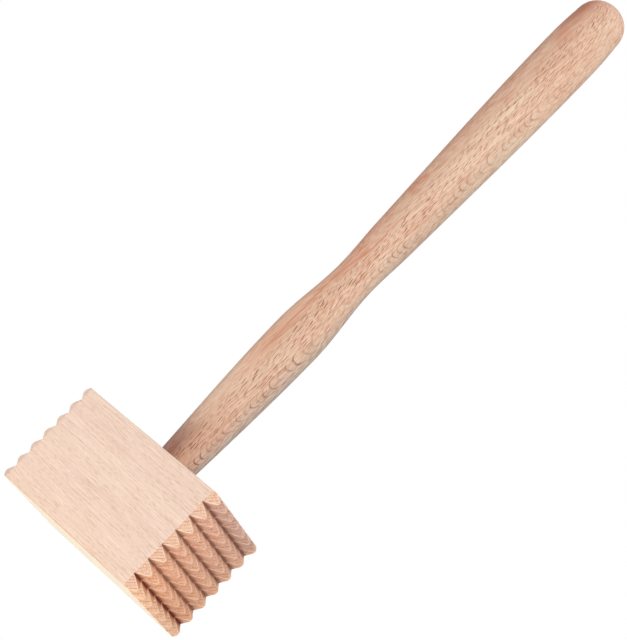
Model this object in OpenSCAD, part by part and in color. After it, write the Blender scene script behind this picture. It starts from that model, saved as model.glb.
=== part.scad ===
// Wooden meat mallet: a block of beech with pyramid teeth on both striking ends, on a turned
// handle whose round tenon is glued into a blind mortise in the top of the block.
// Millimetres. The mallet stands on the underside of its head: Z runs up the handle,
// X is the direction of the blow and the grain of the head, Y is the width of the head.

/* [Head] */
// Length of the head from tooth tip to tooth tip
head_length = 85; // [70:0.5:110]
// Width of the head, along the edges of the grooved ends
head_width = 52.5; // [40:0.5:70]
// Height of the head, along the handle
head_height = 49.7; // [40:0.1:65]
// Radius of the eased long edges of the head
edge_radius = 0.6; // [0.2:0.1:2]

/* [Teeth] */
// Distance from one tooth to the next, across and up the end
tooth_pitch = 7.5; // [6:0.1:10]
// Depth of the grooves that cut the teeth
tooth_depth = 4.4; // [3:0.1:5.5]
// Width of the blunt flat left on top of each tooth
tooth_flat = 1.3; // [0.6:0.1:2.4]

/* [Tenon] */
// Diameter of the tenon
tenon_d = 15; // [11:0.5:18]
// Thickness of the wood left below the mortise
mortise_floor = 12.9; // [6:0.1:18]
// Bevel round the end of the tenon
tenon_bevel = 1; // [0.5:0.1:2]
// Step from the tenon out to the handle's shoulder
shoulder_step = 1.3; // [0.8:0.05:3]
// Room for glue all round the tenon
glue_gap = 0.1; // [0.05:0.01:0.25]
// Room for glue past the end of the tenon
end_gap = 0.8; // [0.3:0.1:2]

/* [Handle] */
// Length of the handle above the head
handle_length = 282.3; // [230:0.1:340]
// Growth in radius per millimetre just above the shoulder
shoulder_flare = 0.045; // [0.02:0.005:0.07]
// Height above the head of the swell below the waist
swell_at = 75; // [60:1:85]
// Diameter of the swell
swell_d = 22.9; // [20:0.1:26]
// Height above the head of the waist
waist_at = 111.5; // [100:0.5:122]
// Diameter of the waist
waist_d = 17.8; // [15:0.1:19.5]
// Distance from the waist to where the long taper of the grip begins
flare_run = 23.5; // [12:0.5:30]
// Diameter where the long taper of the grip begins
flare_d = 20; // [18.5:0.1:21]
// Growth in radius per millimetre where the taper of the grip begins
grip_flare = 0.032; // [0.02:0.002:0.06]
// Distance of the thickest part of the grip from the end of the handle
grip_from_end = 30; // [25:0.5:50]
// Diameter of the thickest part of the grip
grip_d = 25.8; // [23:0.1:31]
// Length of the domed end
dome_length = 12.5; // [8:0.5:20]
// Diameter at the foot of the domed end
dome_d = 24.2; // [20:0.1:27]
// Fullness of the domed end, where 2 is an ellipse and more is blunter
dome_power = 2.3; // [2:0.1:3]

/* [Hidden] */

$fn = 96;

// How far a cutting shape reaches past the surface that it cuts
overcut = 0.5;
// Steps along each stretch of the handle's outline and along its domed end
outline_steps = 12;
dome_steps = 16;

// The grooves' bottoms lie in one plane near each end
groove_x = head_length / 2 - tooth_depth;
// Half the width of a groove at the tooth tips, and the same per unit of depth
groove_half = (tooth_pitch - tooth_flat) / 2;
groove_slope = groove_half / tooth_depth;

tenon_r = tenon_d / 2;
tenon_end = mortise_floor + end_gap;
mortise_r = tenon_r + glue_gap;
shoulder_r = tenon_r + shoulder_step;

// The grip leans in towards the dome at twice the mean slope between the two
dome_slope = (dome_d - grip_d) / (grip_from_end - dome_length);

// Places along the handle: height above the head, radius, growth in radius per millimetre
stations = [
    [0, shoulder_r, shoulder_flare],
    [swell_at, swell_d / 2, 0],
    [waist_at, waist_d / 2, 0],
    [waist_at + flare_run, flare_d / 2, grip_flare],
    [handle_length - grip_from_end, grip_d / 2, 0],
    [handle_length - dome_length, dome_d / 2, dome_slope]
];

// Height and radius on the smooth curve from station a to station b, for t from 0 to 1
function between(a, b, t) =
    let (run = b[0] - a[0], t2 = t * t, t3 = t2 * t)
    [
        (2 * t3 - 3 * t2 + 1) * a[1] + (t3 - 2 * t2 + t) * run * a[2]
        + (3 * t2 - 2 * t3) * b[1] + (t3 - t2) * run * b[2],
        head_height + a[0] + run * t
    ];

// Outline of the handle above the head, from the shoulder to the foot of the dome
function turned_outline() = [
    for (i = [0 : len(stations) - 2], k = [0 : outline_steps - 1])
        between(stations[i], stations[i + 1], k / outline_steps)
];

// Quarter of a blunt ellipse for the domed end, down to the axis
function dome_outline() = [
    for (k = [0 : dome_steps])
        let (angle = 90 * k / dome_steps, bulge = 2 / dome_power)
        [
            dome_d / 2 * pow(cos(angle), bulge),
            head_height + handle_length - dome_length + dome_length * pow(sin(angle), bulge)
        ]
];

// Rectangle with rounded corners, centred
module eased_rectangle(size, radius) {
    square([size[0] - 2 * radius, size[1]], center = true);
    square([size[0], size[1] - 2 * radius], center = true);
    for (sx = [-1, 1], sy = [-1, 1])
        translate([sx * (size[0] / 2 - radius), sy * (size[1] / 2 - radius)])
            circle(r = radius);
}

// Cutters of the parallel grooves over a given span of the +X end, running along Z
module groove_comb(span, run) {
    depth = tooth_depth + overcut;
    pairs = ceil(span / 2 / tooth_pitch + 0.5);
    for (k = [0 : pairs - 1], side = [-1, 1])
        translate([groove_x, side * (k + 0.5) * tooth_pitch, 0])
            linear_extrude(height = run + 2 * overcut, center = true)
                polygon([[0, 0], [depth, -depth * groove_slope], [depth, depth * groove_slope]]);
}

// Grooves of one striking end, both ways, leaving blunt pyramids
module tooth_cutters() {
    translate([0, 0, head_height / 2]) {
        groove_comb(head_width, head_height);
        rotate([90, 0, 0]) groove_comb(head_height, head_width);
    }
}

module head() {
    color([0.95, 0.83, 0.73])
    difference() {
        translate([0, 0, head_height / 2])
            rotate([90, 0, 90])
                linear_extrude(height = head_length, center = true)
                    eased_rectangle([head_width, head_height], edge_radius);
        tooth_cutters();
        mirror([1, 0, 0]) tooth_cutters();
        translate([0, 0, mortise_floor])
            cylinder(r = mortise_r, h = head_height - mortise_floor + overcut);
    }
}

module handle() {
    color([0.84, 0.66, 0.53])
    rotate_extrude()
        polygon(concat(
            [
                [0, tenon_end],
                [tenon_r - tenon_bevel, tenon_end],
                [tenon_r, tenon_end + tenon_bevel],
                [tenon_r, head_height]
            ],
            turned_outline(),
            dome_outline()
        ));
}

head();
handle();
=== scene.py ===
import math
import bpy
import bmesh
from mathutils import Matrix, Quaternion, Vector


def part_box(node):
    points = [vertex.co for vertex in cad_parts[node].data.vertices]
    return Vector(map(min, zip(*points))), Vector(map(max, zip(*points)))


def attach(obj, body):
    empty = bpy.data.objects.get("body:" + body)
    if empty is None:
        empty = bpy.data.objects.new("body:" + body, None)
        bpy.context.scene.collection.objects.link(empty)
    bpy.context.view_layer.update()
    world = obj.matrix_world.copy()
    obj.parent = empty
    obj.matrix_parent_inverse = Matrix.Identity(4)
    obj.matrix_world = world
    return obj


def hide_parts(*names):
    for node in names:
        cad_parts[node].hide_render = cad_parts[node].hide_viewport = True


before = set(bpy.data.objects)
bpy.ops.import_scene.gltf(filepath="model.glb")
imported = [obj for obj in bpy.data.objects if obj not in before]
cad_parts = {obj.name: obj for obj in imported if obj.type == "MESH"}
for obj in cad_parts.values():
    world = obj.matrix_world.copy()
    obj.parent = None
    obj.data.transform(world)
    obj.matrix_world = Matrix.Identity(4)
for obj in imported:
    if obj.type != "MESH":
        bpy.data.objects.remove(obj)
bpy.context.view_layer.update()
mm = 0.001
print("frame loaded:", ", ".join(sorted(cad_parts)))


cameraLook = {
    "place": (0.38862, -0.58046, -0.02138),  # in front, to the right and a little under the head
    "aim": (-0.0004, -0.00027, 0.13505),
    "roll": 43.949,  # degrees, which lays the handle towards the upper right corner
    "lens": 95.625,
    "sensor": 36,
    "nearest": 0.01,
}


def setCamera(look):
    data = bpy.data.cameras.new("photoCamera")
    data.lens = look["lens"]
    data.sensor_width = look["sensor"]
    data.clip_start = look["nearest"]
    camera = bpy.data.objects.new("photoCamera", data)
    bpy.context.scene.collection.objects.link(camera)
    sight = Vector(look["aim"]) - Vector(look["place"])
    camera.location = look["place"]
    camera.rotation_mode = "QUATERNION"
    roll = Quaternion((0, 0, 1), math.radians(look["roll"]))
    camera.rotation_quaternion = sight.to_track_quat("-Z", "Y") @ roll
    bpy.context.scene.camera = camera


setCamera(cameraLook)
print("camera set")


class Wire:
    def __init__(self, sheet, socket):
        self.sheet = sheet
        self.socket = socket

    def maths(self, operation, *terms):
        return self.sheet.add("ShaderNodeMath", {"operation": operation}, dict(enumerate(terms)))

    def __add__(self, other):
        return self.maths("ADD", self, other)

    def __radd__(self, other):
        return self.maths("ADD", other, self)

    def __sub__(self, other):
        return self.maths("SUBTRACT", self, other)

    def __rsub__(self, other):
        return self.maths("SUBTRACT", other, self)

    def __mul__(self, other):
        return self.maths("MULTIPLY", self, other)

    def __rmul__(self, other):
        return self.maths("MULTIPLY", other, self)

    def __truediv__(self, other):
        return self.maths("DIVIDE", self, other)

    def __rtruediv__(self, other):
        return self.maths("DIVIDE", other, self)

    def __pow__(self, other):
        return self.maths("POWER", self, other)

    def __rpow__(self, other):
        return self.maths("POWER", other, self)

    def __neg__(self):
        return self.maths("MULTIPLY", self, -1.0)

    def __abs__(self):
        return self.maths("ABSOLUTE", self)

    def floor(self):
        return self.maths("FLOOR", self)

    def fract(self):
        return self.maths("FRACT", self)

    def larger(self, other):
        return self.maths("MAXIMUM", self, other)

    def smaller(self, other):
        return self.maths("MINIMUM", self, other)

    def rise(self, low, high, start=0.0, end=1.0):  # start below low, end above high, smooth between
        settings = {"interpolation_type": "SMOOTHSTEP"}
        sockets = {0: self, 1: low, 2: high, 3: start, 4: end}
        return self.sheet.add("ShaderNodeMapRange", settings, sockets)

    def fade(self, low, high, depth=1.0):  # 1 below low, less by depth above high
        return self.rise(low, high, 1.0, 1.0 - depth)


class NodeSheet:
    def __init__(self, owner):  # a new material or world
        owner.use_nodes = True
        self.owner = owner
        self.tree = owner.node_tree
        self.tree.nodes.clear()

    def add(self, kind, settings=None, sockets=None, out=0):
        node = self.tree.nodes.new(kind)
        for name, value in (settings or {}).items():
            setattr(node, name, value)
        for name, value in (sockets or {}).items():
            if isinstance(value, Wire):
                self.tree.links.new(value.socket, node.inputs[name])
            else:
                node.inputs[name].default_value = value
        return Wire(self, node.outputs[out]) if node.outputs else node

    def other(self, wire, out):  # another output of the node that a wire comes from
        return Wire(self, wire.socket.node.outputs[out])

    def combine(self, x, y, z):
        return self.add("ShaderNodeCombineXYZ", None, {0: x, 1: y, 2: z})

    def along(self, vector, direction):
        settings = {"operation": "DOT_PRODUCT"}
        return self.add("ShaderNodeVectorMath", settings, {0: vector, 1: direction}, "Value")

    def noise(self, parts, sizes, detail):  # cloudy values, with a size of cloud for each part
        vector = self.combine(*[part / size for part, size in zip(parts, sizes)])
        return self.add("ShaderNodeTexNoise", None, {"Vector": vector, "Scale": 1.0, "Detail": detail})

    def chance(self, x, y, z, out="Value"):  # one random value or colour for each cell
        return self.add("ShaderNodeTexWhiteNoise", None, {"Vector": self.combine(x, y, z)}, out)

    def mix(self, amount, under, over, way="MIX"):  # the colours are wires or hex codes
        under, over = [tint(tone) if isinstance(tone, str) else tone for tone in (under, over)]
        settings = {"data_type": "RGBA", "blend_type": way}
        return self.add("ShaderNodeMix", settings, {0: amount, 6: under, 7: over}, 2)

    def surface(self, shader, kind="ShaderNodeOutputMaterial"):
        self.add(kind, None, {"Surface": shader})
        return self.owner


def tint(code):  # a hex colour as it looks on screen, made linear
    parts = [int(code[i:i + 2], 16) / 255 for i in (1, 3, 5)]
    return [c / 12.92 if c <= 0.04045 else ((c + 0.055) / 1.055) ** 2.4 for c in parts] + [1.0]


def woodAxes(grain, heart):  # out from the heart of the tree, across the rays, along the grain
    along = Vector(grain).normalized()
    out = Vector(heart)
    out = (out - along * out.dot(along)).normalized()
    return out, along.cross(out), along


# painted light: the underside is painted near white as if lit strongly from below, with painted shade
# along its eased edges
def paintedUndersideLight(sheet, facing, longGrain, colour, look):
    down = sheet.along(facing, (0, 0, -1))
    under = down.rise(*look["from"]) * longGrain
    colour = sheet.mix(under * look["depth"], colour, look["tone"])
    edge = abs(sheet.along(facing, (0, 1, 0))) * down
    return sheet.mix(edge.rise(*look["edgeFrom"]) * longGrain, colour, look["edgeTone"], "MULTIPLY")


def leftRimPaintedLight(sheet, place, look):  # painted light: the outermost flanks of the left end take the paler colour of the sides, without end-grain tones or marks
    outer = (look["halfWidth"] - abs(sheet.along(place, (0, 1 / mm, 0)))).fade(*look["rim"])
    left = sheet.along(place, (1 / mm, 0, 0)).fade(*look["leftHalf"])
    return outer * left * look["leftRim"]


def toothTone(sheet, place, facing, end, colour, look):
    pitch, middle, halfWidth = look["pitch"], look["middle"], look["halfWidth"]
    y = sheet.along(place, (0, 1 / mm, 0))
    z = sheet.along(place, (0, 0, 1 / mm)) - middle
    sideY = (y / pitch + 0.5).fract() - 0.5  # from the middle of the nearest tooth, in pitches
    sideZ = (z / pitch + 0.5).fract() - 0.5
    awayY = (0.5 - abs(sideY)) * pitch  # millimetres from the nearest groove
    awayZ = (0.5 - abs(sideZ)) * pitch
    inside = (halfWidth - abs(y)).rise(*look["rim"])
    patchy = sheet.noise((y, z, inside), look["patchSize"], detail=2.0)
    grit = sheet.noise((y, z, patchy), look["gritSize"], detail=3.0)

    # painted light and shade: warmer, lighter lower rows, a lightest lowest row, a darker top row, darker
    # towards the back and inside the rim
    tone = sheet.mix(z.rise(-middle, middle), look["lowTone"], look["highTone"])
    tone = sheet.mix(z.fade(*look["lowestRow"]), tone, look["lowestTone"])
    tone = sheet.mix(z.rise(*look["topRow"]), tone, look["topTone"])
    tone = sheet.mix(y.rise(-halfWidth, halfWidth), tone, look["backTone"], "MULTIPLY")
    tone = sheet.mix(inside, look["rimTone"], tone)
    colour = sheet.mix(end, colour, tone, "MULTIPLY")
    gritty = grit.rise(*look["gritFrom"]) * end
    colour = sheet.mix(gritty * look["gritDepth"], colour, look["grit"], "MULTIPLY")

    # painted shade darkens both flanks of the grooves between the rows, deep red in the lowest groove, and
    # also the up-facing flanks of the lowest rows and the back side of the grooves across each row
    up = sheet.along(facing, (0, 0, 1))
    flank = abs(up).rise(*look["flankFrom"])
    flank = flank.larger(sideZ.rise(*look["tipLine"], *look["flankLeast"]))
    deepest = z.fade(*look["lowestGroove"])
    even, uneven, lowWiden = look["pitSpread"]
    pitWidth = look["pitWidth"] * (even + uneven * patchy + lowWiden * deepest)
    pitShade = awayZ.fade(look["grooveLine"], pitWidth) * flank
    pitShade = pitShade * z.rise(*look["lowestGroove"], look["pitLowDepth"], look["pitDepth"])
    cross = awayY.fade(look["grooveLine"], look["crossWidth"]) * inside * look["crossDepth"]
    cross = cross * sideY.rise(*look["tipLine"], *look["crossSides"])
    upFlankShade = up.rise(*look["flankFrom"]) * deepest * end
    colour = sheet.mix(upFlankShade, colour, look["upFlankShade"], "MULTIPLY")
    pitShadeColour = sheet.mix(deepest, look["pitShade"], look["pitLow"])
    colour = sheet.mix(pitShade.larger(cross) * end, colour, pitShadeColour, "MULTIPLY")

    # painted highlight along the ridges that run up to the tips, partly the pale cut fibres too, more so
    # at the rim
    ridgeHighlight = abs(awayY - awayZ).fade(*look["ridgeWidth"])
    ridgeHighlight = ridgeHighlight * awayY.smaller(awayZ).rise(*look["ridgeFrom"])
    ridgeHighlight = ridgeHighlight * (1 - inside * patchy.rise(*look["ridgeBreaks"]))
    return sheet.mix(ridgeHighlight * end * look["ridgeDepth"], colour, look["ridgeHighlight"])


def veinTone(sheet, place, facing, fibre, colour, look):  # one long reddish streak up the front
    height = sheet.along(place, (0, 0, 1 / mm))
    course = look["start"]
    for shift, heights in look["bends"]:
        course = height.rise(*heights) * shift + course
    away = abs(sheet.along(place, (1 / mm, 0, 0)) - course)
    vein = away.fade(*look["core"]) * look["coreShare"]
    vein = vein + away.fade(*look["width"]) * (1 - look["coreShare"])
    vein = vein * height.rise(*look["above"]) * height.fade(*look["below"])
    vein = vein * sheet.along(facing, (0, -1, 0)).rise(*look["front"]) * (fibre + look["even"])
    return sheet.mix(vein * look["depth"], colour, look["tone"])


def paintedSideShading(sheet, place, facing, wander, colour, look):  # painted light and shade, by height and by the side faced
    height = sheet.along(place, (0, 0, 1 / mm))
    right = sheet.along(facing, look["right"])
    sides = {"right": right, "left": -right}
    for wash in look["washes"]:
        amount = sides[wash["side"]].rise(*wash["turn"])
        if "above" in wash:
            amount = amount * height.rise(*wash["above"])
        if "below" in wash:
            amount = amount * height.fade(*wash["below"])
        if "patchy" in wash:
            amount = amount * wander.rise(*wash["patchy"])
        if "depth" in wash:
            amount = amount * wash["depth"]
        colour = sheet.mix(amount, colour, wash["tone"], wash.get("way", "MULTIPLY"))
    # painted shade along both silhouette sides of the handle, wider on the left of the grip
    highRimShade = sides["left"].rise(*look["highRimTurn"]) * height.rise(*look["highRimAbove"])
    rim = abs(right).rise(*look["rimTurn"]).larger(highRimShade)
    return sheet.mix(rim, colour, look["rimTone"], "MULTIPLY")


fleckLook = {
    "stagger": 31,  # marks by which one row can start before another
    "asideJitter": 0.35,
    "aheadJitter": 0.3,
    "softEdge": (0.3, 1.0),
}


def flecks(sheet, across, along, look):  # short dark marks in staggered rows, where rays meet the surface
    look = {**fleckLook, **look}
    u = across / look["rowGap"]
    row = u.floor()
    v = along / look["gap"] + sheet.chance(row, 0.5, 0.0) * look["stagger"]
    draw = sheet.chance(row, v.floor(), 2.0, "Color")  # the 2 keeps this draw apart from the one above
    pick = sheet.add("ShaderNodeSeparateColor", None, {0: draw})
    aside = (u.fract() - 0.5 - (sheet.other(pick, 1) - 0.5) * look["asideJitter"]) * look["rowGap"]
    ahead = (v.fract() - 0.5 - (sheet.other(pick, 2) - 0.5) * look["aheadJitter"]) * look["gap"]
    aside = aside + ahead * look["tilt"]
    size = (aside / look["width"]) ** 2 + (ahead / look["length"]) ** 2
    return size.fade(*look["softEdge"]) * pick.rise(1 - look["share"], 1.0)


# what both pieces of wood have in common
beechLook = {
    "slowSize": (16, 16, 75),  # millimetres out from the heart, across the rays and along the grain
    "streakSize": (1.1, 1.1, 90),
    "slowSpan": (-0.2273, 0.2273),
    "fibreSpan": (-0.25, 0.25),
    "streakFrom": (0.5, 0.75),
    "latePeak": 0.92,  # where the dark line of a year is darkest, and where it breaks off
    "lateStop": (0.95, 1.0),
    "patchFrom": (-0.08, 0.1),
    "archFrom": (0.95, 0.99),  # how flat a surface lies to the rings where they show as arches
    "clearFrom": (0.93, 0.985),
    "flatFrom": (0.2, 0.7),
    "ringFadeOver": (120, 210),  # millimetres along the grain
    "dashFadeOver": (190, 250),
    "boostOver": (130, 200),
    "speckShift": 0.7,
    "roughness": 0.6,
    "fibreRough": 0.15,
    "dashRough": 0.1,
    "fibreRelief": 0.5,
    "dashRelief": 0.7,
    "ringRelief": 0.25,
    "reliefHeight": 0.12 * mm,
}


def beech(name, look):
    look = {**beechLook, **look}
    sheet = NodeSheet(bpy.data.materials.new(name))
    place = sheet.add("ShaderNodeTexCoord", None, None, "Object")
    facing = sheet.other(place, "Normal")
    axes = woodAxes(look["grain"], look["heart"])
    parts = [sheet.along(place, axis / mm) + shift for axis, shift in zip(axes, look["shift"])]
    rad, tan, lon = parts  # millimetres out from the heart, across the rays and along the grain
    flat = abs(sheet.along(facing, axes[0]))  # 1 where the surface lies along the rings
    end = abs(sheet.along(facing, look["endFaces"])).rise(*look["endFrom"])
    if "teeth" in look:
        end = end * (1 - leftRimPaintedLight(sheet, place, look["teeth"]))
    longGrain = 1 - end

    slow = sheet.noise(parts, look["slowSize"], detail=2.0) - 0.5
    wander = sheet.noise(parts, look["waveSize"], detail=1.0) - 0.5
    radius = ((rad + look["heartAway"]) ** 2 + tan ** 2) ** 0.5 - look["heartAway"]
    turn = (radius + slow * look["ringWander"] + wander * look["ringWave"]) / look["ringGap"]
    phase = turn.fract()
    year = turn.floor() + look["firstYear"]
    yearTone = sheet.add("ShaderNodeTexWhiteNoise", {"noise_dimensions": "1D"}, {"W": year})
    late = phase.rise(look["lateFrom"], look["latePeak"]) * phase.fade(*look["lateStop"])
    late = late * (look["ringLeast"] + (1 - look["ringLeast"]) * yearTone ** look["ringSpread"])
    late = late * flat.rise(*look["archFrom"], look["lateSide"], 1.0)
    late = late * wander.rise(*look["patchFrom"], 1 - look["ringPatch"], 1.0)
    late = late * lon.fade(*look["ringFadeOver"], look["ringFade"]) * lon.fade(*look["ringStop"])

    # the fibres lean away from the rings a little, and the rows of flecks follow a lean of their own
    leanOut, leanAside = look["lean"]
    sway = tan + slow * look["sway"]
    fibreParts = (rad + lon * leanOut, sway + lon * leanAside, lon)
    fibre = sheet.noise(fibreParts, look["fibreSize"], detail=1.5) - 0.5
    streak = sheet.noise(fibreParts, look["streakSize"], detail=1.0).rise(*look["streakFrom"])
    drift = sway + lon * look["slant"]
    flatSawn = flat.rise(*look["flatFrom"]) * longGrain * flat.fade(*look["clearFrom"], look["archClear"])
    dash = flecks(sheet, drift, lon, look["dashes"]) * flatSawn
    dash = dash * lon.fade(*look["dashFadeOver"], look["dashFade"])
    speck = flecks(sheet, drift + look["speckShift"], lon, look["specks"]) * flatSawn

    colour = sheet.mix(slow.rise(*look["slowSpan"]), look["pale"], look["pink"])
    lively = look["fibreDepth"] * (1 + look["lowBoost"] * lon.fade(*look["boostOver"]))
    colour = sheet.mix(fibre.rise(*look["fibreSpan"]) * lively, colour, look["late"])
    colour = sheet.mix(streak * longGrain * look["streakDepth"], colour, look["streak"])
    ringDepth = look["ringDepth"] + end * (look["endRings"] - look["ringDepth"])
    colour = sheet.mix(late * ringDepth, colour, look["ring"])
    if "underside" in look:
        colour = paintedUndersideLight(sheet, facing, longGrain, colour, look["underside"])
    for marks, kind in ((speck, look["specks"]), (dash, look["dashes"])):
        colour = sheet.mix(marks * kind["depth"], colour, kind["tone"])
    if "vein" in look:
        colour = veinTone(sheet, place, facing, fibre, colour, look["vein"])
    if "paintedSideShades" in look:
        colour = paintedSideShading(sheet, place, facing, wander, colour, look["paintedSideShades"])
    colour = sheet.mix(end * look["endDepth"], colour, look["endTone"], "MULTIPLY")
    if "teeth" in look:
        colour = toothTone(sheet, place, facing, end, colour, look["teeth"])

    relief = fibre * look["fibreRelief"] - dash * look["dashRelief"] - late * look["ringRelief"]
    bump = sheet.add("ShaderNodeBump", None, {
        "Strength": look["relief"],
        "Distance": look["reliefHeight"],
        "Height": relief,
    })
    shader = sheet.add("ShaderNodeBsdfPrincipled", None, {
        "Base Color": colour,
        "Roughness": look["roughness"] + fibre * look["fibreRough"] + dash * look["dashRough"],
        "Specular IOR Level": look["gloss"],
        "Normal": bump,
    })
    return sheet.surface(shader)


def joinLoops(bm, first, second):  # a band of faces between two closed loops of points
    for k in range(len(first)):
        n = (k + 1) % len(first)
        bm.faces.new((first[k], first[n], second[n], second[k]))


def roundLoop(bm, radius, z, sides):  # a circle of points about the handle's axis
    turns = [2 * math.pi * k / sides for k in range(sides)]
    r = radius * mm
    return [bm.verts.new((r * math.cos(turn), r * math.sin(turn), z * mm)) for turn in turns]


def finishPiece(bm, name, node, material, sharp):
    bmesh.ops.recalc_face_normals(bm, faces=bm.faces)
    for face in bm.faces:
        face.smooth = True
    for edge in bm.edges:
        edge.smooth = edge.calc_face_angle(0.0) < math.radians(sharp)
    mesh = bpy.data.meshes.new(name)
    bm.to_mesh(mesh)
    bm.free()
    mesh.materials.append(material)
    piece = bpy.data.objects.new(name, mesh)
    bpy.context.scene.collection.objects.link(piece)
    even = piece.modifiers.new("evenNormals", "WEIGHTED_NORMAL")
    even.keep_sharp = True
    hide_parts(node)
    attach(piece, "root")
    print(name, "made:", len(mesh.vertices), "points")
    return piece


headLook = {
    "pitch": 7.5,
    "depth": 4.4,
    "flat": 1.3,
    "cells": 24,  # mesh cells across one tooth
    "tipEase": 0.8,
    "ridgeEase": 0.4,
    "edge": 0.6,
    "mortise": 7.6,
    "mortiseDepth": 36.8,
    "mortiseSides": 64,
    "collar": 0.5,  # strip of the sides next to the teeth, where groove shade fades out
    "level": 0.0001,  # points that are as close as this to the top or the underside belong to it
    "sharp": 75,
    "wood": {
        "grain": (1, 0, -0.02),
        "heart": (-0.05, 0.85, -0.52),
        "endFaces": (1, 0, 0),
        "endFrom": (0.3, 0.55),
        "shift": (0, 4, 0),
        "heartAway": 400,
        "ringGap": 0.8,
        "ringWander": 1.2,
        "ringWave": 0.35,
        "waveSize": (7, 7, 30),
        "firstYear": 0,
        "lateFrom": 0.45,
        "lateSide": 1.0,
        "ringLeast": 0.2,
        "ringSpread": 1,
        "ringPatch": 0.0,
        "ringFade": 0.0,
        "ringStop": (90, 99),  # past the ends, so that no ring stops
        "lean": (0.0, 0.0),
        "slant": 0.0,
        "sway": 0.5,
        "dashes": {"rowGap": 0.9, "gap": 5.6, "width": 0.12, "length": 2.0, "share": 0.5, "tilt": 0.0,
                   "tone": "#a86c4c", "depth": 0.38},
        "dashFade": 0.0,
        "archClear": 0.0,
        "specks": {"rowGap": 0.5, "gap": 3.6, "width": 0.11, "length": 1.3, "share": 0.75, "tilt": 0.0,
                   "tone": "#b07450", "depth": 0.32},
        "fibreSize": (0.45, 0.26, 14),
        "fibreDepth": 0.42,
        "lowBoost": 0.0,
        "pale": "#f4dfce",
        "pink": "#f0d9ca",
        "late": "#cfa187",
        "streak": "#cfa187",
        "streakDepth": 0.12,
        "ring": "#cb9b80",
        "ringDepth": 0.1,
        "endRings": 0.85,
        "endTone": "#fdf4ea",
        "endDepth": 0.8,
        "gloss": 0.12,
        "relief": 0.2,
        # painted light on the underside, painted shade on its eased edges
        "underside": {
            "tone": "#f9f4e8",
            "depth": 0.95,
            "from": (0.6, 0.9),
            "edgeTone": "#f0dfd3",  # painted shade along its eased edges
            "edgeFrom": (0.1, 0.45),
        },
        "teeth": {  # makeHead adds the pitch and the half sizes
            "rim": (2.4, 4.2),  # how far in from the side faces the painted shade of the field of teeth begins
            "leftRim": 0.85,
            "leftHalf": (-1.0, 1.0),
            "rimTone": "#f8f2ee",
            "lowTone": "#fce8d8",
            "highTone": "#f4e6e4",
            "lowestRow": (-20.5, -17.0),  # heights from the middle row
            "lowestTone": "#fffcf2",
            "topRow": (17.0, 20.5),
            "topTone": "#e6dee2",
            "backTone": "#eeeeee",
            "patchSize": (2.5, 2.5, 1),
            "gritSize": (0.4, 0.4, 1),
            "gritFrom": (0.45, 0.75),
            "grit": "#e0baa4",
            "gritDepth": 0.8,
            "tipLine": (-0.05, 0.05),  # where one side of a tooth gives way to the other
            "grooveLine": 0.1,
            "flankFrom": (0.3, 0.7),
            "flankLeast": (0.5, 0.15),  # below and above the middle of a tooth
            "lowestGroove": (-20.0, -12.0),
            # painted shade in the grooves, a deep red in the lowest one
            "pitShade": "#7e4436",
            "pitLow": "#8e3216",
            "pitWidth": 1.4,
            "pitSpread": (0.6, 0.8, 0.15),  # even, uneven, and more of it in the lowest groove
            "pitDepth": 0.62,
            "pitLowDepth": 0.9,
            # painted shade on the up-facing flanks of the lowest rows
            "upFlankShade": "#ead0c2",
            "crossWidth": 1.6,
            "crossDepth": 0.4,
            "crossSides": (0.05, 1.0),  # in front of and behind the middle of a tooth
            # painted highlight on the ridges, partly pale cut fibres
            "ridgeHighlight": "#f8e2cc",
            "ridgeWidth": (0.08, 0.4),
            "ridgeFrom": (0.25, 0.9),
            "ridgeBreaks": (0.3, 0.7, 0.25, 1.0),
            "ridgeDepth": 0.7,
        },
    },
}


def softMin(a, b, ease):  # the smaller of the two, rounded off where they meet
    gap = max(ease - abs(a - b), 0.0)
    return min(a, b) - gap * gap / (4 * ease)


def grooveDistance(place, pitch):
    return abs(place / pitch % 1.0 - 0.5) * pitch


def toothSide(first, second, pitch):  # below or above 0, before or past the middle of a tooth
    return ((first + second) / 2 / pitch + 0.5) % 1.0 - 0.5


def gridLines(half, step):  # every step from the middle, and the two borders
    slack = 0.001
    count = math.ceil(half / step - slack)
    lines = [k * step for k in range(-count + 1, count)]
    return [-half] + lines + [half]


def easedCorner(y, z, halfWidth, halfHeight, edge):  # squares at the corners become quarter discs
    a = (abs(y) - halfWidth) / edge + 1
    b = (abs(z) - halfHeight) / edge + 1
    if a <= 0 or b <= 0:
        return y, z
    roundY = halfWidth - edge + edge * a * math.sqrt(1 - b * b / 2)
    roundZ = halfHeight - edge + edge * b * math.sqrt(1 - a * a / 2)
    return math.copysign(roundY, y), math.copysign(roundZ, z)


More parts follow.
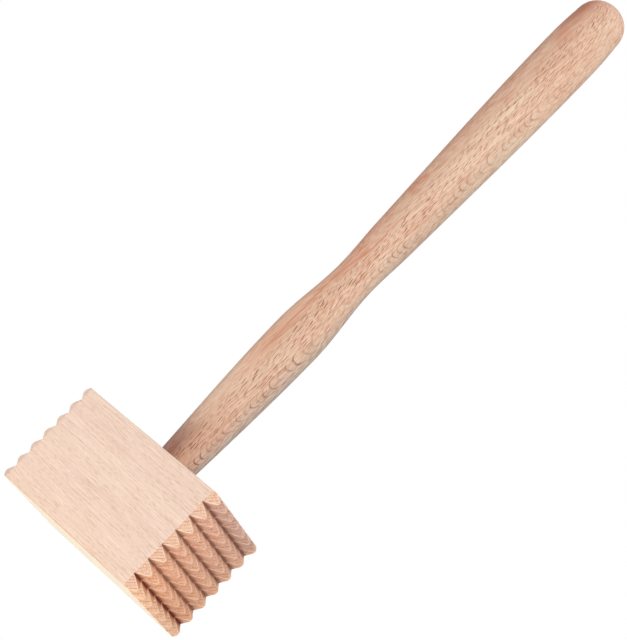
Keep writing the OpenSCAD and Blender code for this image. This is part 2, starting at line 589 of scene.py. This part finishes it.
def toothedEnd(bm, side, half, look):  # one striking end, and the loop of points where the sides begin
    halfLength, halfWidth, halfHeight = half
    pitch, depth = look["pitch"], look["depth"]
    grooveX = halfLength - depth
    slope = depth / ((pitch - look["flat"]) / 2)
    crest = depth + look["ridgeEase"] / 4  # softMin takes a quarter of the ease off the tips again
    ys = gridLines(halfWidth, pitch / look["cells"])
    zs = gridLines(halfHeight, pitch / look["cells"])
    rows = []
    for z in zs:
        rowZ = softMin(grooveDistance(z, pitch) * slope, crest, look["tipEase"])
        row = []
        for y in ys:
            rowY = softMin(grooveDistance(y, pitch) * slope, crest, look["tipEase"])
            x = side * (grooveX + softMin(rowY, rowZ, look["ridgeEase"]))
            easedY, easedZ = easedCorner(y, z, halfWidth, halfHeight, look["edge"])
            row.append(bm.verts.new((x * mm, easedY * mm, (easedZ + halfHeight) * mm)))
        rows.append(row)
    for j in range(len(zs) - 1):
        for k in range(len(ys) - 1):
            a, b, c, d = rows[j][k], rows[j][k + 1], rows[j + 1][k + 1], rows[j + 1][k]
            # each cell is cut along the diagonal that runs up to the tip of its tooth
            if toothSide(ys[k], ys[k + 1], pitch) * toothSide(zs[j], zs[j + 1], pitch) > 0:
                cuts = ((a, b, c), (a, c, d))
            else:
                cuts = ((a, b, d), (b, c, d))
            for cut in cuts:
                bm.faces.new(cut)
    # the rim of the end, once round, starting at the lower left corner
    rim = rows[0] + [r[-1] for r in rows[1:]] + rows[-1][-2::-1] + [r[0] for r in rows[-2:0:-1]]
    collarX = side * (grooveX - look["collar"])
    collar = [bm.verts.new((collarX * mm, v.co.y, v.co.z)) for v in rim]
    joinLoops(bm, rim, collar)
    return collar


def wrapSides(bm, right, left, topZ, look):  # the sides and the underside, and which points border the top
    level = look["level"] * mm
    base, top = set(), set()
    for k in range(len(right)):
        n = (k + 1) % len(right)
        ends = (right[k].co.z, right[n].co.z)
        if max(ends) < level:
            base.update((k, n))
        elif min(ends) > topZ * mm - level:
            top.update((k, n))
        else:
            bm.faces.new((right[k], right[n], left[n], left[k]))
    base, top = [sorted(points, key=lambda k: right[k].co.y) for points in (base, top)]
    bm.faces.new([right[k] for k in base] + [left[k] for k in reversed(base)])
    return top


def boreTop(bm, right, left, top, topZ, look):  # the top in two halves round the mortise
    sides = look["mortiseSides"]
    mouth = roundLoop(bm, look["mortise"], topZ, sides)
    floor = roundLoop(bm, look["mortise"], topZ - look["mortiseDepth"], sides)
    middle = min(range(len(top)), key=lambda i: abs(right[top[i]].co.y))
    backHalf = [right[k] for k in top[middle:]] + [left[k] for k in reversed(top[middle:])]
    frontHalf = [left[k] for k in top[middle::-1]] + [right[k] for k in top[:middle + 1]]
    bm.faces.new(backHalf + mouth[sides // 2::-1])
    bm.faces.new(frontHalf + [mouth[0]] + mouth[:sides // 2 - 1:-1])
    joinLoops(bm, mouth, floor)
    bm.faces.new(floor)


def makeHead(look):
    low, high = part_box("head")
    half = [(high[i] - low[i]) / mm / 2 for i in range(3)]
    topZ = 2 * half[2]
    bm = bmesh.new()
    right, left = [toothedEnd(bm, side, half, look) for side in (1, -1)]
    top = wrapSides(bm, right, left, topZ, look)
    boreTop(bm, right, left, top, topZ, look)
    wood = look["wood"]
    teeth = {**wood["teeth"], "pitch": look["pitch"], "halfWidth": half[1], "middle": half[2]}
    material = beech("headBeech", {**wood, "teeth": teeth})
    return finishPiece(bm, "toothedHead", "head", material, look["sharp"])


makeHead(headLook)


handleLook = {
    "sides": 96,
    "steps": 20,  # rings along each stretch between two stations
    "domeSteps": 24,
    "tenon": 7.5,
    "tenonLength": 36.0,
    "tenonBevel": 1.0,
    "shoulderEase": 0.15,
    # height above the head, radius, growth in radius per millimetre
    "stations": [
        (0, 8.8, 0.045),
        (75, 11.45, 0),
        (111.5, 8.9, 0),
        (135, 10.0, 0.032),
        (252.3, 12.9, 0),
        (269.8, 12.1, -0.0914),
    ],
    "domeLength": 12.5,
    "domePower": 2.3,
    "sharp": 40,
    "wood": {
        "grain": (-0.075, 0.03, 1),
        "heart": (0.937, -0.35, 0),
        "endFaces": (0, 0, 1),
        "endFrom": (0.55, 1.0),
        "shift": (3.09, 0, 0),
        "heartAway": 90,
        "ringGap": 0.45,
        "ringWander": 1.4,
        "ringWave": 0.8,
        "waveSize": (7, 7, 11),
        "firstYear": 57,
        "lateFrom": 0.6,
        "lateSide": 0.15,
        "ringLeast": 0.3,
        "ringSpread": 1.2,
        "ringPatch": 0.5,
        "ringFade": 0.42,
        "ringStop": (285, 305),  # no ring closes to a spot on the dome
        "lean": (-0.174, -0.052),
        "slant": -0.081,
        "sway": 0.4,
        "dashes": {"rowGap": 0.9, "gap": 5.2, "width": 0.145, "length": 2.3, "share": 0.85, "tilt": 0.16,
                   "tone": "#82300e", "depth": 0.95},
        "dashFade": 0.35,  # the dashes are fainter on the grip
        "archClear": 0.35,  # and where the rings show as arches
        "specks": {"rowGap": 0.55, "gap": 3.3, "width": 0.11, "length": 1.3, "share": 0.8, "tilt": 0.2,
                   "tone": "#94441f", "depth": 0.82},
        "fibreSize": (0.45, 0.26, 30),
        "fibreDepth": 0.5,
        "lowBoost": 0.12,  # the grain shows more on the lower half
        "pale": "#e8d2ba",
        "pink": "#e2c2aa",
        "late": "#b4704e",
        "streak": "#be7048",
        "streakDepth": 0.36,
        "ring": "#7c3a18",
        "ringDepth": 1.0,
        "endRings": 0.0,
        # painted shade: where the dome faces up it is darkened
        "endTone": "#c49c8a",
        "endDepth": 0.7,
        "gloss": 0.2,
        "relief": 0.3,
        "vein": {
            "tone": "#c8744a",
            "depth": 0.62,
            "start": -0.8,  # millimetres to the right of the middle, and its bends with their heights
            "bends": [(-1.3, (130, 147)), (4.4, (150, 180))],
            "above": (85, 115),
            "below": (165, 205),
            "core": (0.1, 0.8),
            "coreShare": 0.7,
            "width": (0.2, 2.2),
            "even": 0.8,
            "front": (0.2, 0.6),
        },
        "paintedSideShades": {
            "right": (0.83, 0.56, 0),  # the right side as the photo has it
            # how far the surface turns to that side, and the heights where the tone comes in and goes;
            # two more numbers in turn are the amounts at its ends, a third in below is how much goes
            "washes": [
                # painted light: a paler wash on the lower left of the handle
                {"tone": "#f6d4bc", "side": "left", "turn": (0.1, 0.5),
                 "above": (64, 74), "below": (95, 125), "depth": 0.22, "way": "MIX"},
                # painted shade: the left side is darkened, more on the grip, where reddish patches come in
                # too
                {"tone": "#fdece5", "side": "left", "turn": (0.1, 1.0),
                 "above": (85, 110), "below": (130, 200)},
                {"tone": "#ecdad6", "side": "left", "turn": (0.1, 1.0), "above": (130, 200)},
                {"tone": "#f8e4da", "side": "left", "turn": (0.1, 1.0),
                 "above": (130, 200), "patchy": (0, 0.2)},
                # painted shade: cooler and darker towards the right side, most on the lower handle
                {"tone": "#e2f2fc", "side": "right", "turn": (0.45, 1.0), "below": (110, 260, 0.85)},
                {"tone": "#f6f8f8", "side": "right", "turn": (0.1, 0.7),
                 "above": (150, 185), "below": (230, 280)},
                # faint painted shade on both sides of the lower handle
                {"tone": "#faf5f3", "side": "right", "turn": (-1.0, -0.1), "below": (120, 210)},
                {"tone": "#f9fbff", "side": "right", "turn": (0.1, 0.6), "below": (100, 130)},
                # painted shadow of the head on the left of the foot
                {"tone": "#c7b3b7", "side": "left", "turn": (0.0, 0.7, 0.12, 1.0), "below": (56, 78)},
                # painted shade on the upper left edge of the dome
                {"tone": "#deb6a8", "side": "left", "turn": (0.45, 0.95), "above": (295, 325)},
            ],
            # painted shade along both silhouette sides
            "rimTone": "#e6eaec",
            "rimTurn": (0.85, 1.0),
            "highRimTurn": (0.75, 1.05),  # wider on the left of the grip
            "highRimAbove": (230, 280),
        },
    },
}


def handleOutline(look, base):  # radius and height of each ring, from the end of the tenon to the dome
    rings = []
    stations = look["stations"]
    for a, b in zip(stations, stations[1:]):
        run = b[0] - a[0]
        for k in range(look["steps"]):
            t = k / look["steps"]
            radius = (2 * t**3 - 3 * t**2 + 1) * a[1] + (t**3 - 2 * t**2 + t) * run * a[2]
            radius += (3 * t**2 - 2 * t**3) * b[1] + (t**3 - t**2) * run * b[2]
            rings.append((radius, base + a[0] + run * t))
    foot = stations[-1]
    bulge = 2 / look["domePower"]
    for k in range(look["domeSteps"]):
        angle = math.pi / 2 * k / look["domeSteps"]
        radius = foot[1] * math.cos(angle) ** bulge
        rings.append((radius, base + foot[0] + look["domeLength"] * math.sin(angle) ** bulge))
    ease = look["shoulderEase"]
    rings[0] = (rings[0][0], base + ease)
    end = base - look["tenonLength"]
    bevel = look["tenonBevel"]
    tenon = [(look["tenon"] - bevel, end), (look["tenon"], end + bevel), (look["tenon"], base)]
    return tenon + [(rings[0][0] - ease, base)] + rings


def makeHandle(look):
    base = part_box("head")[1][2] / mm  # the shoulder sits on top of the head
    sides = look["sides"]
    bm = bmesh.new()
    rings = [roundLoop(bm, radius, z, sides) for radius, z in handleOutline(look, base)]
    tip = base + look["stations"][-1][0] + look["domeLength"]
    apex = bm.verts.new((0, 0, tip * mm))
    bm.faces.new(rings[0])
    for lower, upper in zip(rings, rings[1:]):
        joinLoops(bm, lower, upper)
    for k in range(sides):
        bm.faces.new((rings[-1][k], rings[-1][(k + 1) % sides], apex))
    material = beech("handleBeech", look["wood"])
    return finishPiece(bm, "turnedHandle", "handle", material, look["sharp"])


makeHandle(handleLook)


studioLook = {
    "floorSize": 4.0,
    "floorSides": 96,
    "floorFade": (0.5, 1.9),  # metres from the middle, over which the floor gives way to white
    "floorDrop": 0.2 * mm,
    "floorTone": "#f4f2ef",
    "ambient": 0.35,
    "lampAway": 1.5,
    # direction towards the lamp, brightness of a white card facing it, width in degrees
    "lamps": {
        "frontSoftbox": ((0.35, -0.87, -0.35), 0.39, 80),
        "sideSoftbox": ((0.95, 0.1, 0.2), 0.43, 60),
        "leftSoftbox": ((-0.9, -0.4, 0.1), 0.16, 60),
        "underSoftbox": ((0.0, -0.2, -0.98), 0.36, 40),
        "topSoftbox": ((0.1, -0.1, 0.98), 0.42, 60),
    },
}


def floorCard(look):  # pale from above, clear from below and far out
    sheet = NodeSheet(bpy.data.materials.new("paleFloor"))
    place = sheet.add("ShaderNodeTexCoord", None, None, "Object")
    away = sheet.add("ShaderNodeVectorMath", {"operation": "LENGTH"}, {0: place}, "Value")
    below = sheet.add("ShaderNodeNewGeometry", None, None, "Backfacing")
    gone = below.larger(away.rise(*look["floorFade"]))
    board = sheet.add("ShaderNodeBsdfDiffuse", None, {"Color": tint(look["floorTone"])})
    clear = sheet.add("ShaderNodeBsdfTransparent")
    return sheet.surface(sheet.add("ShaderNodeMixShader", None, {0: gone, 1: board, 2: clear}))


def makeFloor(look):
    bm = bmesh.new()
    radius = look["floorSize"] / 2
    bmesh.ops.create_circle(bm, cap_ends=True, segments=look["floorSides"], radius=radius)
    mesh = bpy.data.meshes.new("paleFloor")
    bm.to_mesh(mesh)
    bm.free()
    mesh.materials.append(floorCard(look))
    floor = bpy.data.objects.new("paleFloor", mesh)
    floor.location.z = -look["floorDrop"]
    floor.visible_shadow = False
    bpy.context.scene.collection.objects.link(floor)


def makeLamps(look):
    for name, (towards, level, width) in look["lamps"].items():
        data = bpy.data.lights.new(name, "SUN")
        data.energy = level * math.pi
        data.angle = math.radians(width)
        lamp = bpy.data.objects.new(name, data)
        lamp.location = Vector(towards).normalized() * look["lampAway"]
        lamp.rotation_mode = "QUATERNION"
        lamp.rotation_quaternion = Vector(towards).to_track_quat("Z", "Y")
        bpy.context.scene.collection.objects.link(lamp)


def makeWorld(look):  # white where it is seen, dimmer where it lights the wood
    sheet = NodeSheet(bpy.data.worlds.new("studio"))
    ray = sheet.add("ShaderNodeLightPath", None, None, "Is Camera Ray")
    seen = ray.larger(sheet.other(ray, "Is Glossy Ray")).larger(sheet.other(ray, "Is Transmission Ray"))
    level = look["ambient"] + seen * (1 - look["ambient"])
    glow = sheet.add("ShaderNodeBackground", None, {"Color": (1, 1, 1, 1), "Strength": level})
    bpy.context.scene.world = sheet.surface(glow, "ShaderNodeOutputWorld")


makeFloor(studioLook)
makeLamps(studioLook)
makeWorld(studioLook)
bpy.context.scene.view_settings.view_transform = "Standard"
print("studio set")
